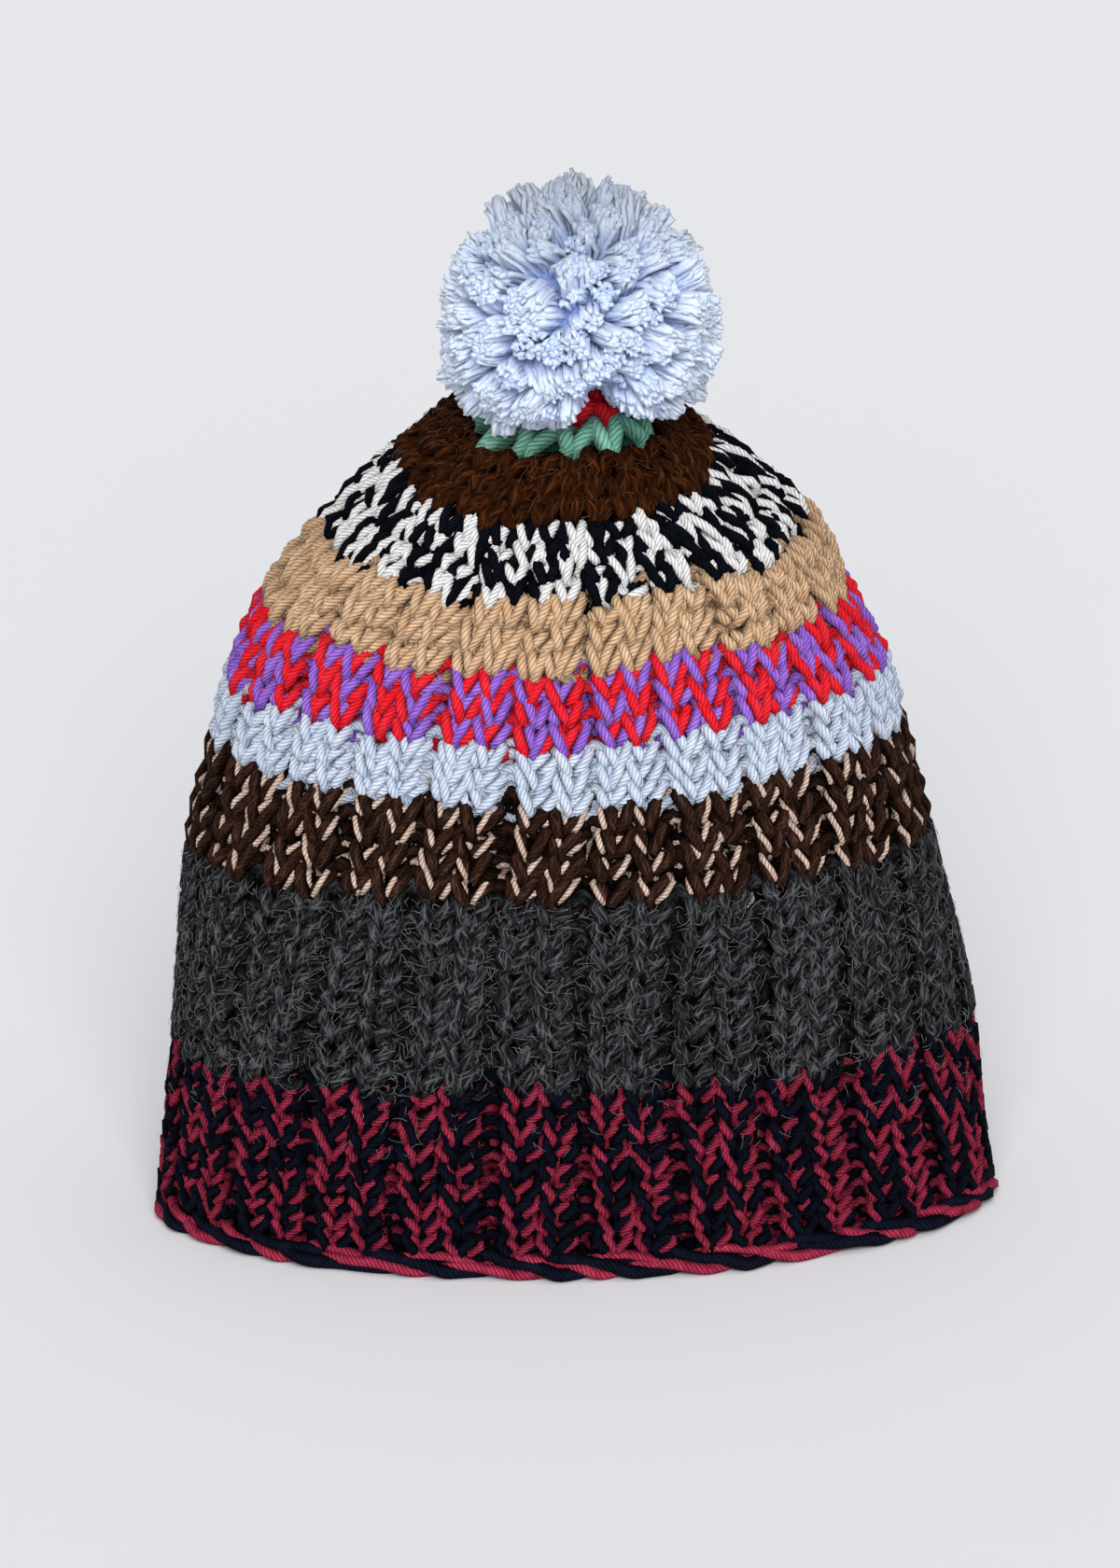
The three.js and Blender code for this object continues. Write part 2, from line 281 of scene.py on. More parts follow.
def sweep(centres, outward, radius, sides, closed):
    """Tubes along many paths at once. centres is paths by points by 3. Returns vertices, quads
    with their yarn coordinates (millimetres along, turns round), and caps for open tubes."""
    paths, points = centres.shape[:2]
    along = directions(centres, closed)
    across = unit(np.cross(along, outward))
    out = unit(np.cross(across, along))
    angles = np.arange(sides) / sides * 2 * math.pi
    ring = np.cos(angles)[:, None] * across[:, :, None] + np.sin(angles)[:, None] * out[:, :, None]
    vertices = centres[:, :, None] + ring * np.broadcast_to(radius, centres.shape[:2])[:, :, None, None]
    number = np.arange(paths * points * sides).reshape(paths, points, sides)
    steps = np.linalg.norm(np.roll(centres, -1, 1) - centres, axis=-1) / MM
    start = np.concatenate([np.zeros((paths, 1)), np.cumsum(steps, 1)[:, :-1]], 1)
    this, after = number, np.roll(number, -1, 1)
    finish = start + steps
    if not closed:
        this, after = this[:, :-1], after[:, :-1]
        start, finish = start[:, :-1], finish[:, :-1]
    quads = np.stack([this, after, np.roll(after, -1, 2), np.roll(this, -1, 2)], -1)
    turn = np.arange(sides) / sides
    shape = this.shape
    u0, u1 = np.broadcast_to(start[..., None], shape), np.broadcast_to(finish[..., None], shape)
    v0, v1 = np.broadcast_to(turn, shape), np.broadcast_to(turn + 1 / sides, shape)
    uvs = np.stack([np.stack([u0, v0], -1), np.stack([u1, v0], -1),
                    np.stack([u1, v1], -1), np.stack([u0, v1], -1)], -2)
    groups = [(quads.reshape(-1, 4), uvs.reshape(-1, 4, 2))]
    if not closed:
        caps = np.concatenate([number[:, 0, :], number[:, -1, ::-1]])
        groups.append((caps, np.zeros(caps.shape + (2,))))
    return vertices.reshape(-1, 3), groups


def joined_mesh(name, parts, materials):
    """One object from several parts: each has its shape, the number of its material, and how deep
    its vertices lie in the fabric in millimetres."""
    mesh = bpy.data.meshes.new(name)
    vertices, corners, starts, kinds, yarn_uv, depths = [], [], [], [], [], []
    shift, corner_count = 0, 0
    for (points, groups), material, depth in parts:
        for faces, uvs in groups:
            vertices_here = faces.shape[1]
            corners.append((faces + shift).reshape(-1))
            starts.append(corner_count + np.arange(len(faces)) * vertices_here)
            kinds.append(np.full(len(faces), material))
            yarn_uv.append(uvs.reshape(-1))
            corner_count += faces.size
        vertices.append(points)
        depths.append(np.broadcast_to(depth, len(points)))
        shift += len(points)
    vertices, corners = np.concatenate(vertices), np.concatenate(corners)
    starts, kinds = np.concatenate(starts), np.concatenate(kinds)
    mesh.vertices.add(len(vertices))
    mesh.vertices.foreach_set("co", vertices.astype(np.float32).reshape(-1))
    mesh.loops.add(len(corners))
    mesh.loops.foreach_set("vertex_index", corners.astype(np.int32))
    mesh.polygons.add(len(starts))
    mesh.polygons.foreach_set("loop_start", starts.astype(np.int32))
    mesh.polygons.foreach_set("material_index", kinds.astype(np.int32))
    mesh.polygons.foreach_set("use_smooth", np.full(len(starts), True))
    sunk = mesh.attributes.new("depth", "FLOAT", "POINT")
    sunk.data.foreach_set("value", np.concatenate(depths).astype(np.float32))
    layer = mesh.uv_layers.new(name="yarn")
    layer.data.foreach_set("uv", np.concatenate(yarn_uv).astype(np.float32))
    mesh.update(calc_edges=True)
    for material in materials:
        mesh.materials.append(material)
    piece = bpy.data.objects.new(name, mesh)
    bpy.context.scene.collection.objects.link(piece)
    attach(piece, "root")
    return piece


# Materials

# How deep in the fabric the painted shade is darkest, and how far from there the light is full, in
# millimetres
DARKEST_DEPTH = 5.0
LIGHT_REACH = 3.1
# Brushed yarn in millimetres: the girth it is drawn for, and how far apart and how long its hairs
# are, with the slants that they lie at across the yarn. Real hairs are finer than a pixel.
BRUSHED_GIRTH = 14.0
HAIR_SPACING = 0.75
HAIR_REACH = 5.0
HAIR_SLANTS = (-0.45, 0.1, 0.7)
# Streaks on spun yarn: three to a ply, each about 3 mm long. They stand for bundles of fibres, as
# real fibres are finer than a pixel.
STREAKS_PER_PLY = 3.0
STREAKS_PER_MM = 0.35
# Patches of lighter and darker yarn to a metre, each about 4 mm wide, as the dye took unevenly
PATCHES_PER_METRE = 260.0
# What share of the yarn's tone comes from the streaks and from the patches
STREAK_SHARE = 0.6
PATCH_SHARE = 0.4
# Bundles of fibres on cut yarn: round a ply and to a millimetre, and how much they differ between
# tufts about 8 mm apart
BUNDLES_ROUND = 9.0
BUNDLES_PER_MM = 0.3
TUFTS_PER_METRE = 120.0
TUFT_DIFFERENCE = 8.0
# Specks of the dense inside, each 2 mm wide, and patches of loose hairs about 11 mm wide
SPECKS_PER_METRE = 500.0
HAIR_PATCHES_PER_METRE = 90.0


def linear(colour):
    """An sRGB hex colour turned linear."""
    parts = [int(colour[i:i + 2], 16) / 255 for i in (1, 3, 5)]
    return [part / 12.92 if part <= 0.04045 else ((part + 0.055) / 1.055) ** 2.4 for part in parts] + [1]


def add(tree, kind, inputs=(), **settings):
    """A node with its settings; inputs are values, or other nodes' sockets to link."""
    node = tree.nodes.new(kind)
    for key, value in settings.items():
        setattr(node, key, value)
    for key, value in dict(inputs).items():
        if isinstance(value, bpy.types.NodeSocket):
            tree.links.new(value, node.inputs[key])
        else:
            node.inputs[key].default_value = value
    return node


def calculate(tree, operation, first, second=0.0):
    """The outcome of a sum, product or other calculation with one or two values."""
    return add(tree, "ShaderNodeMath", {0: first, 1: second}, operation=operation).outputs[0]


def hair_lines(tree, along, turn):
    """A mask of fine hairs that lie nearly along brushed yarn, one on a hair and zero between."""
    mask = 0.0
    for number, slant in enumerate(HAIR_SLANTS):
        aside = calculate(tree, "ADD", calculate(tree, "MULTIPLY", along, slant),
                          calculate(tree, "MULTIPLY", turn, BRUSHED_GIRTH))
        drawn_out = add(tree, "ShaderNodeCombineXYZ", {
            0: calculate(tree, "DIVIDE", aside, HAIR_SPACING),
            1: calculate(tree, "DIVIDE", along, HAIR_REACH),
            2: 7.0 * number}).outputs[0]
        noise = add(tree, "ShaderNodeTexNoise", {
            "Vector": drawn_out, "Scale": 1.0, "Detail": 2.0, "Distortion": 0.3}).outputs[0]
        line = add(tree, "ShaderNodeMapRange", {
            "Value": noise, "From Min": 0.55, "From Max": 0.75}).outputs[0]
        mask = calculate(tree, "MAXIMUM", line, mask)
    return mask


def spun_yarn(name, body, light, shade, plies=6, lay=8.0, groove_darkening=0.55, fibre=0.35, fuzz=0.05,
              gloom=0.9, edge=0.4, hair_colour=None):
    """Plied yarn: soft matt fibres twisted into plies, so its surface shows slanting ridges, with
    grooves between them painted darker towards shade by the share groove_darkening, as painted shade.
    lay is the length of one full twist in millimetres. gloom is how much darker the loops are painted
    deep in the fabric, and edge how much darker the yarn's sides are painted, where the next loop
    would shade them: both are painted shade. hair_colour is for the loose hairs of brushed yarn."""
    material = bpy.data.materials.new(name)
    material.use_nodes = True
    tree = material.node_tree
    shader = tree.nodes["Principled BSDF"]
    uv = add(tree, "ShaderNodeUVMap", uv_map="yarn").outputs["UV"]
    split = add(tree, "ShaderNodeSeparateXYZ", {0: uv})
    twist = calculate(tree, "ADD", calculate(tree, "DIVIDE", split.outputs[0], lay), split.outputs[1])
    phase = calculate(tree, "MULTIPLY", twist, 2 * math.pi * plies)
    ridge = calculate(tree, "ABSOLUTE", calculate(tree, "SINE", calculate(tree, "MULTIPLY", phase, 0.5)))
    place = add(tree, "ShaderNodeTexCoord").outputs["Object"]
    fibre_place = add(tree, "ShaderNodeCombineXYZ", {
        0: calculate(tree, "MULTIPLY", twist, plies * STREAKS_PER_PLY),
        1: calculate(tree, "MULTIPLY", split.outputs[0], STREAKS_PER_MM)}).outputs[0]
    strands = add(tree, "ShaderNodeTexNoise", {
        "Vector": fibre_place, "Scale": 1.0, "Detail": 3.0, "Roughness": 0.6}).outputs[0]
    patches = add(tree, "ShaderNodeTexNoise", {
        "Vector": place, "Scale": PATCHES_PER_METRE, "Detail": 3.0, "Roughness": 0.6}).outputs[0]
    # Painted shade: the shade colour mixed into the grooves between the plies
    painted_groove_shade = add(tree, "ShaderNodeMapRange", {
        "Value": ridge, "From Min": 0.0, "From Max": 0.75,
        "To Min": 1 - groove_darkening, "To Max": 1.0}).outputs[0]
    tone = add(tree, "ShaderNodeMapRange", {
        "Value": calculate(tree, "ADD", calculate(tree, "MULTIPLY", strands, STREAK_SHARE),
                           calculate(tree, "MULTIPLY", patches, PATCH_SHARE)),
        "From Min": 0.5 - fibre / 2, "From Max": 0.5 + fibre / 2}).outputs[0]
    mixed = add(tree, "ShaderNodeMixRGB", {
        "Fac": tone, "Color1": linear(body), "Color2": linear(light)}).outputs[0]
    shaded = add(tree, "ShaderNodeMixRGB", {
        "Fac": painted_groove_shade, "Color1": linear(shade), "Color2": mixed}).outputs[0]
    if hair_colour:
        shaded = add(tree, "ShaderNodeMixRGB", {
            "Fac": hair_lines(tree, split.outputs[0], split.outputs[1]), "Color1": shaded,
            "Color2": linear(hair_colour)}).outputs[0]
    # Painted shade: loops darker the nearer they lie to the middle depth of the fabric
    depth = add(tree, "ShaderNodeAttribute", attribute_name="depth").outputs["Fac"]
    from_middle = calculate(tree, "ABSOLUTE", calculate(tree, "SUBTRACT", depth, DARKEST_DEPTH))
    painted_depth_shade = add(tree, "ShaderNodeMapRange", {
        "Value": from_middle, "From Min": 0.0, "From Max": LIGHT_REACH,
        "To Min": 1 - gloom, "To Max": 1.0}).outputs[0]
    # Painted shade: the yarn's sides darker than its outward face, where the next loop would shade them
    outward = calculate(tree, "SINE", calculate(tree, "MULTIPLY", split.outputs[1], 2 * math.pi))
    painted_side_shade = add(tree, "ShaderNodeMapRange", {
        "Value": outward, "From Min": 0.3, "From Max": 1.0,
        "To Min": 1 - edge, "To Max": 1.0}).outputs[0]
    shaded = add(tree, "ShaderNodeMixRGB", {
        "Fac": calculate(tree, "MULTIPLY", painted_depth_shade, painted_side_shade), "Color1": (0, 0, 0, 1),
        "Color2": shaded}).outputs[0]
    height = calculate(tree, "ADD", calculate(tree, "MULTIPLY", ridge, 0.7),
                       calculate(tree, "MULTIPLY", strands, 0.5))
    bump = add(tree, "ShaderNodeBump", {"Height": height, "Strength": 0.9, "Distance": 0.5 * MM})
    tree.links.new(shaded, shader.inputs["Base Color"])
    tree.links.new(bump.outputs[0], shader.inputs["Normal"])
    shader.inputs["Roughness"].default_value = 0.85
    shader.inputs["Specular IOR Level"].default_value = 0.03
    shader.inputs["Sheen Weight"].default_value = fuzz
    shader.inputs["Sheen Tint"].default_value = linear(light)
    shader.inputs["Sheen Roughness"].default_value = 0.45
    return material


def pompom_yarn(name, length, top_shade_from, top_shade_to):
    """Cut yarn opened into fine parallel fibres: a deeper blue of painted shade towards the roots
    inside the ball, almost white at the cut ends, and greyed by painted shade from the height
    top_shade_from up to top_shade_to, both in metres. length is how far a tuft runs in millimetres."""
    material = bpy.data.materials.new(name)
    material.use_nodes = True
    tree = material.node_tree
    shader = tree.nodes["Principled BSDF"]
    uv = add(tree, "ShaderNodeUVMap", uv_map="yarn").outputs["UV"]
    split = add(tree, "ShaderNodeSeparateXYZ", {0: uv})
    place = add(tree, "ShaderNodeTexCoord").outputs["Object"]
    tuft = add(tree, "ShaderNodeTexNoise", {
        "Vector": place, "Scale": TUFTS_PER_METRE, "Detail": 1.0}).outputs[0]
    fibre_place = add(tree, "ShaderNodeCombineXYZ", {
        0: calculate(tree, "MULTIPLY", split.outputs[1], BUNDLES_ROUND),
        1: calculate(tree, "MULTIPLY", split.outputs[0], BUNDLES_PER_MM),
        2: calculate(tree, "MULTIPLY", tuft, TUFT_DIFFERENCE)}).outputs[0]
    fibres = add(tree, "ShaderNodeTexNoise", {
        "Vector": fibre_place, "Scale": 1.0, "Detail": 3.0, "Roughness": 0.65}).outputs[0]
    # Painted light and shade: a deeper blue near the roots, paler towards the cut ends
    lit = add(tree, "ShaderNodeMapRange", {
        "Value": split.outputs[0], "From Min": length * 0.35, "From Max": length * 0.95}).outputs[0]
    base = add(tree, "ShaderNodeMixRGB", {
        "Fac": lit, "Color1": linear("#90b0ef"), "Color2": linear("#d3e2f8")}).outputs[0]
    streak = add(tree, "ShaderNodeMapRange", {
        "Value": fibres, "From Min": 0.4, "From Max": 0.68}).outputs[0]
    mixed = add(tree, "ShaderNodeMixRGB", {
        "Fac": calculate(tree, "MULTIPLY", streak, 0.75), "Color1": base,
        "Color2": linear("#f8fbff")}).outputs[0]
    # Painted shade: the upper part of the ball mixed towards a dark grey-blue
    height = add(tree, "ShaderNodeSeparateXYZ", {0: place}).outputs[2]
    painted_top_shade = add(tree, "ShaderNodeMapRange", {
        "Value": height, "From Min": top_shade_from, "From Max": top_shade_to,
        "To Min": 1.0, "To Max": 0.58}).outputs[0]
    mixed = add(tree, "ShaderNodeMixRGB", {
        "Fac": painted_top_shade, "Color1": linear("#3a4054"), "Color2": mixed})
    bump = add(tree, "ShaderNodeBump", {"Height": fibres, "Strength": 0.6, "Distance": 0.35 * MM})
    tree.links.new(mixed.outputs[0], shader.inputs["Base Color"])
    tree.links.new(bump.outputs[0], shader.inputs["Normal"])
    shader.inputs["Roughness"].default_value = 0.75
    shader.inputs["Specular IOR Level"].default_value = 0.3
    shader.inputs["Sheen Weight"].default_value = 0.25
    return material


def dense_inside(name, colour):
    """The dense inside of the knit or the pompom, in its yarn's colour as painted shade: dull and
    flecked, so that what shows of it in gaps reads as more yarn in the shade."""
    material = bpy.data.materials.new(name)
    material.use_nodes = True
    tree = material.node_tree
    shader = tree.nodes["Principled BSDF"]
    place = add(tree, "ShaderNodeTexCoord").outputs["Object"]
    noise = add(tree, "ShaderNodeTexNoise", {
        "Vector": place, "Scale": SPECKS_PER_METRE, "Detail": 2.0}).outputs[0]
    deep = [part * 0.4 for part in linear(colour)[:3]] + [1]
    mixed = add(tree, "ShaderNodeMixRGB", {"Fac": noise, "Color1": deep, "Color2": linear(colour)})
    tree.links.new(mixed.outputs[0], shader.inputs["Base Color"])
    shader.inputs["Roughness"].default_value = 1.0
    shader.inputs["Specular IOR Level"].default_value = 0.03
    return material


YARNS = {
    # Smooth spun acrylic, dyed almost black: only its ridges are seen, as a faint blue
    "navy": spun_yarn("navy_acrylic_yarn", "#04050b", "#191d30", "#010204", fuzz=0.03, edge=0.65),
    # Spun acrylic with a tight twist, wine red: bright ridges between almost black grooves
    "burgundy": spun_yarn("burgundy_acrylic_yarn", "#620b24", "#cf4463", "#1c0208",
                          plies=5, lay=6.0, groove_darkening=0.7),
    # Brushed wool, barely twisted: a soft black body under pale grey hairs that blur its loops
    "charcoal": spun_yarn("charcoal_wool", "#020202", "#2f3134", "#010101", plies=4, lay=13.0,
                          groove_darkening=0.7, fibre=0.3, fuzz=0.02, gloom=0.99, edge=0.97,
                          hair_colour="#76797c"),
    # Lightly brushed wool: thick, dull dark brown loops with hairs of a milky brown
    "dark_brown": spun_yarn("dark_brown_wool", "#120705", "#3c251d", "#060201", groove_darkening=0.4,
                            fibre=0.4, fuzz=0.03, gloom=0.98, edge=0.8, hair_colour="#624438"),
    # Thin hard-twisted strand: pale, crisp flecks with fine slanting lines
    "beige": spun_yarn("beige_fine_yarn", "#c9a28c", "#ffeadb", "#6a483b", plies=3, lay=3.6,
                       groove_darkening=0.7, gloom=0.8, edge=0.2),
    # Soft spun acrylic, pale blue: light gets deep into it, so its gaps stay blue
    "sky": spun_yarn("sky_blue_acrylic_yarn", "#bccfee", "#f2f7ff", "#6781ab", groove_darkening=0.4,
                     gloom=0.55, edge=0.35),
    # Spun acrylic, a full bright red that glows where loops face each other
    "red": spun_yarn("red_acrylic_yarn", "#fa0418", "#ff4050", "#9a0614", gloom=0.7, edge=0.35),
    # Spun acrylic, a cool violet beside the red
    "violet": spun_yarn("violet_acrylic_yarn", "#8f4cd8", "#bd92f2", "#451a80", gloom=0.7,
                        edge=0.35),
    # Spun acrylic, a warm tan with almost cream ridges
    "tan": spun_yarn("tan_acrylic_yarn", "#cc9a70", "#ffe0ba", "#7a4d2d", gloom=0.8, edge=0.45),
    # Spun acrylic, black: dark lines that part the white loops
    "black": spun_yarn("black_acrylic_yarn", "#040509", "#151823", "#010102"),
    # Spun acrylic, off-white with a plain twist: the brightest loops of the hat
    "white": spun_yarn("off_white_acrylic_yarn", "#eceae8", "#ffffff", "#83807c", plies=5, lay=6.5,
                       gloom=0.45, edge=0.15),
    # Brushed wool, chestnut brown: a dark body, with a halo of warmer hairs
    "brown": spun_yarn("brown_brushed_wool", "#0e0401", "#3f1d0b", "#030100", plies=4, lay=13.0,
                       groove_darkening=0.5, fibre=0.4, gloom=0.98, edge=0.92, hair_colour="#633819"),
    # Thick soft spun acrylic, sea green: long smooth loops with many fine plies
    "green": spun_yarn("sea_green_acrylic_yarn", "#60bd9a", "#b8f0db", "#225a43", plies=8, lay=14.0,
                       gloom=0.7, edge=0.6),
}

# The strands held together in each stripe: yarn and radius in millimetres
STRANDS = {
    "brim_band": [("navy", 1.42), ("burgundy", 1.15)],
    "charcoal_band": [("charcoal", 2.35)],
    "fleck_band": [("dark_brown", 1.8), ("beige", 0.82)],
    "sky_band": [("sky", 1.5), ("sky", 1.5)],
    "red_violet_band": [("red", 1.5), ("violet", 1.4)],
    "tan_band": [("tan", 1.5), ("tan", 1.5)],
    "black_white_band": [("black", 1.4), ("white", 1.25)],
    "brown_band": [("brown", 2.3)],
    "green_band": [("green", 2.3)],
    "crown_tip": [("red", 2.2)],
}
# The colour of each stripe's yarn in the shade behind its loops
BACKING = {
    "brim_band": "#0b0712",
    "charcoal_band": "#0c0c0d",
    "fleck_band": "#140c0a",
    "sky_band": "#5f7bab",
    "red_violet_band": "#4d0a30",
    "tan_band": "#7d5c38",
    "black_white_band": "#0a0a10",
    "brown_band": "#1c0f06",
    "green_band": "#1c4c3c",
    "crown_tip": "#5a0610",
}


# The knitting

# A loop as shares of its stitch's width: how far its legs bulge, and how far it slants
LOOP_LEAN = 0.285
LOOP_SHEAR = 0.1
# A loop's height over its row's, as its ends pass into the rows above and below: in most stripes,
# in the green one, and for a purl against a knit
LOOP_OVERLAP = 1.62
LONG_LOOP_OVERLAP = 1.3
PURL_HEIGHT = 0.9
# How far a knit loop comes forward at its legs, how deep the fabric's middle lies, and how far a
# purl loop comes forward at its ends and lies back as a whole
LOOP_DEPTH = 2.4 * MM
FABRIC_MIDDLE = 3.9 * MM
PURL_RISE = 1.5 * MM
PURL_SINK = 0.8 * MM
# The length in which two strands twist once round each other, how unevenly they do so in radians
# at so many places of a row, and how flat they lie in the fabric
TWIST_LENGTH = 75 * MM
FLECK_TWIST_LENGTH = 44 * MM
TWIST_WANDER = 0.9
WANDER_PLACES = 24
TWIST_FLATNESS = 0.55
# Points along a loop and sides round its yarn, for stripes of up to so many rows, for taller ones,
# and for yarn that is knitted alone
FEW_ROWS = 6
FEW_ROWS_DETAIL = (12, 6)
MANY_ROWS_DETAIL = (10, 5)
THICK_YARN_SIDES = 8
# How much loops differ in height and place, as a share of the row's height
USUAL_UNEVENNESS = 0.15
UNEVENNESS = {"tan_band": 0.22, "black_white_band": 0.3, "green_band": 0.08}
# The wall behind the loops: its two faces' depths, how far it sinks behind each purl column, and
# its rings on each face and points on each ring
BACKING_FACE = 4.7 * MM
BACKING_BACK = 5.3 * MM
BACKING_SINK = 1.2 * MM
BACKING_RINGS = 3
BACKING_POINTS = 88
# How often the hem's strands go round one another, the middle of the first pair and how far each
# strand swings from it, in millimetres inwards and upwards, and the hem's detail
EDGE_LAPS = 20
EDGE_MIDDLE = (2.9, 2.75)
EDGE_SWING = (1.3, 1.0)
EDGE_POINTS = 480
EDGE_SIDES = 6
# The hem's strands: yarn, radius, start as a share of a lap, and millimetres inwards and upwards
EDGE_STRANDS = [
    ("navy", 1.85, 0.0, 0.0, 0.0),
    ("burgundy", 1.5, 0.5, 0.0, 0.0),
    ("navy", 1.7, 0.42, 0.9, 2.5),
    ("burgundy", 1.3, 0.92, 0.9, 2.5),
    ("navy", 1.75, 0.25, 3.4, 0.3),
    ("burgundy", 1.45, 0.75, 3.4, 0.3),
]
# How much less deep than the loops the hem's strands count for the painted depth shade, as nothing lies
# over them
EDGE_OPENNESS = 1.8
# One rib: each stitch's middle and width as shares of the rib, and whether it is a purl
RIB = [(0.0, 0.19, True), (0.2975, 0.405, False), (0.7025, 0.405, False)]


def stitch_columns(count):
    """The middle, width and kind of each stitch round a row, as shares of the way round."""
    if count != RIB_STITCHES:
        return np.arange(count) / count, np.full(count, 1 / count), np.zeros(count, bool)
    middles = np.array([(rib + middle) / RIBS for rib in range(RIBS) for middle, _, _ in RIB])
    widths = np.array([width / RIBS for _, width, _ in RIB * RIBS])
    purls = np.array([purl for _, _, purl in RIB * RIBS])
    return middles, widths, purls


def yarn_course(count, up, row_height, loop_points, jitter, overlap):
    """One row's path: share round, distance up and depth inside at each point of every loop."""
    middles, widths, purls = stitch_columns(count)
    t = (np.arange(loop_points) / loop_points * 2 * math.pi)[None, :]
    uneven = 1 + jitter * RNG.standard_normal((count, 1))
    drift = jitter * row_height * RNG.standard_normal((count, 1))
    loop_height = row_height * overlap * np.where(purls[:, None], PURL_HEIGHT, 1.0) * uneven
    across = t / (2 * math.pi) - 0.5 + LOOP_LEAN * np.sin(2 * t) - LOOP_SHEAR * np.cos(t)
    share = middles[:, None] + widths[:, None] * across
    height = up + drift * np.sin(t / 2) ** 2 - loop_height / 2 * np.cos(t)
    knit = -LOOP_DEPTH * np.cos(2 * t)
    purl = PURL_RISE * np.cos(2 * t) - PURL_SINK
    proud = np.where(purls[:, None], purl, knit).reshape(-1)
    eased = (np.roll(proud, 1) + 2 * proud + np.roll(proud, -1)) / 4
    return share.reshape(-1), height.reshape(-1), FABRIC_MIDDLE - eased


def strand_paths(share, up, inside, strands, twist_length):
    """The strands of one course, side by side and slowly twisting round one another."""
    centre, outward = on_fabric(share, up, inside)
    centre, outward = centre[None], outward[None]
    along = directions(centre, True)
    across = unit(np.cross(along, outward))
    out = unit(np.cross(across, along))
    steps = np.linalg.norm(np.roll(centre, -1, 1) - centre, axis=-1)
    length = np.cumsum(steps, 1)
    turns = max(1, round(float(length[0, -1] / twist_length)))
    at = np.linspace(0, WANDER_PLACES, centre.shape[1], endpoint=False)
    knots = np.append(RNG.standard_normal(WANDER_PLACES), 0)
    wander = TWIST_WANDER * np.interp(at, np.arange(WANDER_PLACES + 1), knots, period=WANDER_PLACES)
    twist = 2 * math.pi * turns * length / length[0, -1] + RNG.uniform(0, 2 * math.pi) + wander
    spread = sum(radius for _, radius in strands) / 2 * MM if len(strands) > 1 else 0
    for number, (yarn, radius) in enumerate(strands):
        angle = twist + number * math.pi
        offset = np.cos(angle)[..., None] * across + TWIST_FLATNESS * np.sin(angle)[..., None] * out
        yield centre + spread * offset, out, radius * MM, yarn


def backing_skin(low, high, ribbed):
    """The dense fabric behind the loops: a thin closed wall that stops light."""
    share = np.arange(BACKING_POINTS) / BACKING_POINTS
    sink = BACKING_SINK * np.cos(2 * math.pi * share * RIBS).clip(0) if ribbed else 0
    levels = np.linspace(low, high, BACKING_RINGS)
    rings = []
    for inside, upwards in ((BACKING_FACE, levels), (BACKING_BACK, levels[::-1])):
        for level in upwards:
            up = np.full(BACKING_POINTS, level)
            rings.append(on_fabric(share, up, np.full(BACKING_POINTS, inside) + sink)[0])
    vertices = np.array(rings)
    number = np.arange(len(rings) * BACKING_POINTS).reshape(-1, BACKING_POINTS)
    after = np.roll(number, -1, 0)
    quads = np.stack([number, np.roll(number, -1, 1), np.roll(after, -1, 1), after], -1).reshape(-1, 4)
    return vertices.reshape(-1, 3), [(quads, np.zeros(quads.shape + (2,)))]


def make_stripe(index, stripe):
    """One stripe of the knit: a closed course of loops for each row, over its backing."""
    node = stripe["node"]
    strands = STRANDS[node]
    low, high = np.interp([index, index + 1], PLACES, UP_FABRIC)
    rows = stripe["rows"]
    row_height = (high - low) / len(rows)
    kinds = list(dict.fromkeys(yarn for yarn, _ in strands))
    twist_length = FLECK_TWIST_LENGTH if node == "fleck_band" else TWIST_LENGTH
    overlap = LONG_LOOP_OVERLAP if node == "green_band" else LOOP_OVERLAP
    loop_points, sides = FEW_ROWS_DETAIL if len(rows) <= FEW_ROWS else MANY_ROWS_DETAIL
    if len(strands) == 1:
        sides = THICK_YARN_SIDES
    parts = []
    jitter = UNEVENNESS.get(node, USUAL_UNEVENNESS)
    for row, count in enumerate(rows):
        middle = low + (row + 0.5) * row_height
        share, up, inside = yarn_course(count, middle, row_height, loop_points, jitter, overlap)
        for centre, out, radius, yarn in strand_paths(share, up, inside, strands, twist_length):
            depth = np.repeat(inside / MM, sides)
            parts.append((sweep(centre, out, radius, sides, True), kinds.index(yarn), depth))
    parts.append((backing_skin(low, high, rows[0] == RIB_STITCHES), len(kinds), 0))
    backing = dense_inside(node + "_backing", BACKING[node])
    piece = joined_mesh(node + "_knit", parts, [YARNS[yarn] for yarn in kinds] + [backing])
    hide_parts(node)


